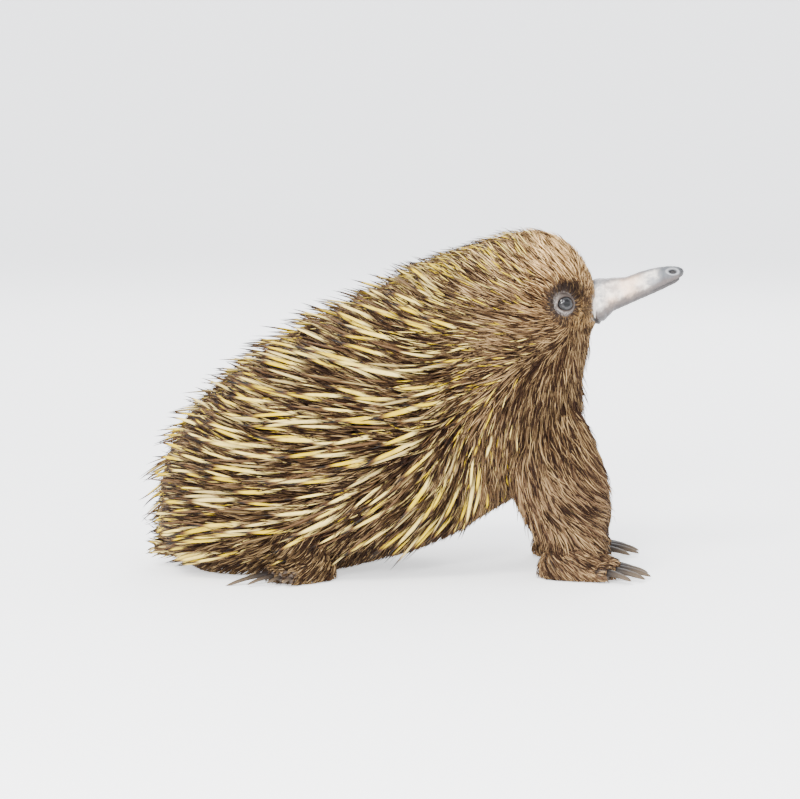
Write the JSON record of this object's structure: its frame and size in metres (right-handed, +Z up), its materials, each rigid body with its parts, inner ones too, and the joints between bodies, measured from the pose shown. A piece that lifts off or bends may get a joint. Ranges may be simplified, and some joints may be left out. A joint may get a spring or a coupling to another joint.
{
  "type": "short-beaked echidna",
  "caption": "Life-size still model of a short-beaked echidna resting on its rump, forequarters raised on the forelegs, slender beak tilted up and spines over the back.",
  "frame": {"origin": "on the floor under the middle of the animal's bounding box", "axes": "+X from the rump towards the beak's tip, +Y to the animal's left, +Z up"},
  "size_m": [0.4026, 0.2242, 0.2572],
  "materials": {
    "spines": "cream to ochre keratin spines with near-black tips over brown fur, satin",
    "fur": "coarse golden-brown to umber fur, matt",
    "beak_skin": "bare pale grey skin with a faint pink flush, darker at the tip, satin",
    "bare_skin": "bare grey-brown skin, matt",
    "eyes": "wet dark eye, glossy",
    "claws": "horn, dark at the root and worn paler at the tip, satin"
  },
  "bodies": {
    "root": {"rump": "spines", "back": "spines", "shoulders": "spines", "neck": "fur", "head": "fur", "beak": "beak_skin", "tail": "spines", "eye_right": "eyes", "ear_right": "bare_skin", "foreleg_right": "fur", "forefoot_right": "bare_skin", "hindleg_right": "fur", "hindfoot_right": "bare_skin", "foreclaw_right_1": "claws", "foreclaw_right_2": "claws", "foreclaw_right_3": "claws", "foreclaw_right_4": "claws", "foreclaw_right_5": "claws", "hindclaw_right_1": "claws", "hindclaw_right_2": "claws", "hindclaw_right_3": "claws", "hindclaw_right_4": "claws", "hindclaw_right_5": "claws", "eye_left": "eyes", "ear_left": "bare_skin", "foreleg_left": "fur", "forefoot_left": "bare_skin", "hindleg_left": "fur", "hindfoot_left": "bare_skin", "foreclaw_left_1": "claws", "foreclaw_left_2": "claws", "foreclaw_left_3": "claws", "foreclaw_left_4": "claws", "foreclaw_left_5": "claws", "hindclaw_left_1": "claws", "hindclaw_left_2": "claws", "hindclaw_left_3": "claws", "hindclaw_left_4": "claws", "hindclaw_left_5": "claws"}
  },
  "joints": []
}
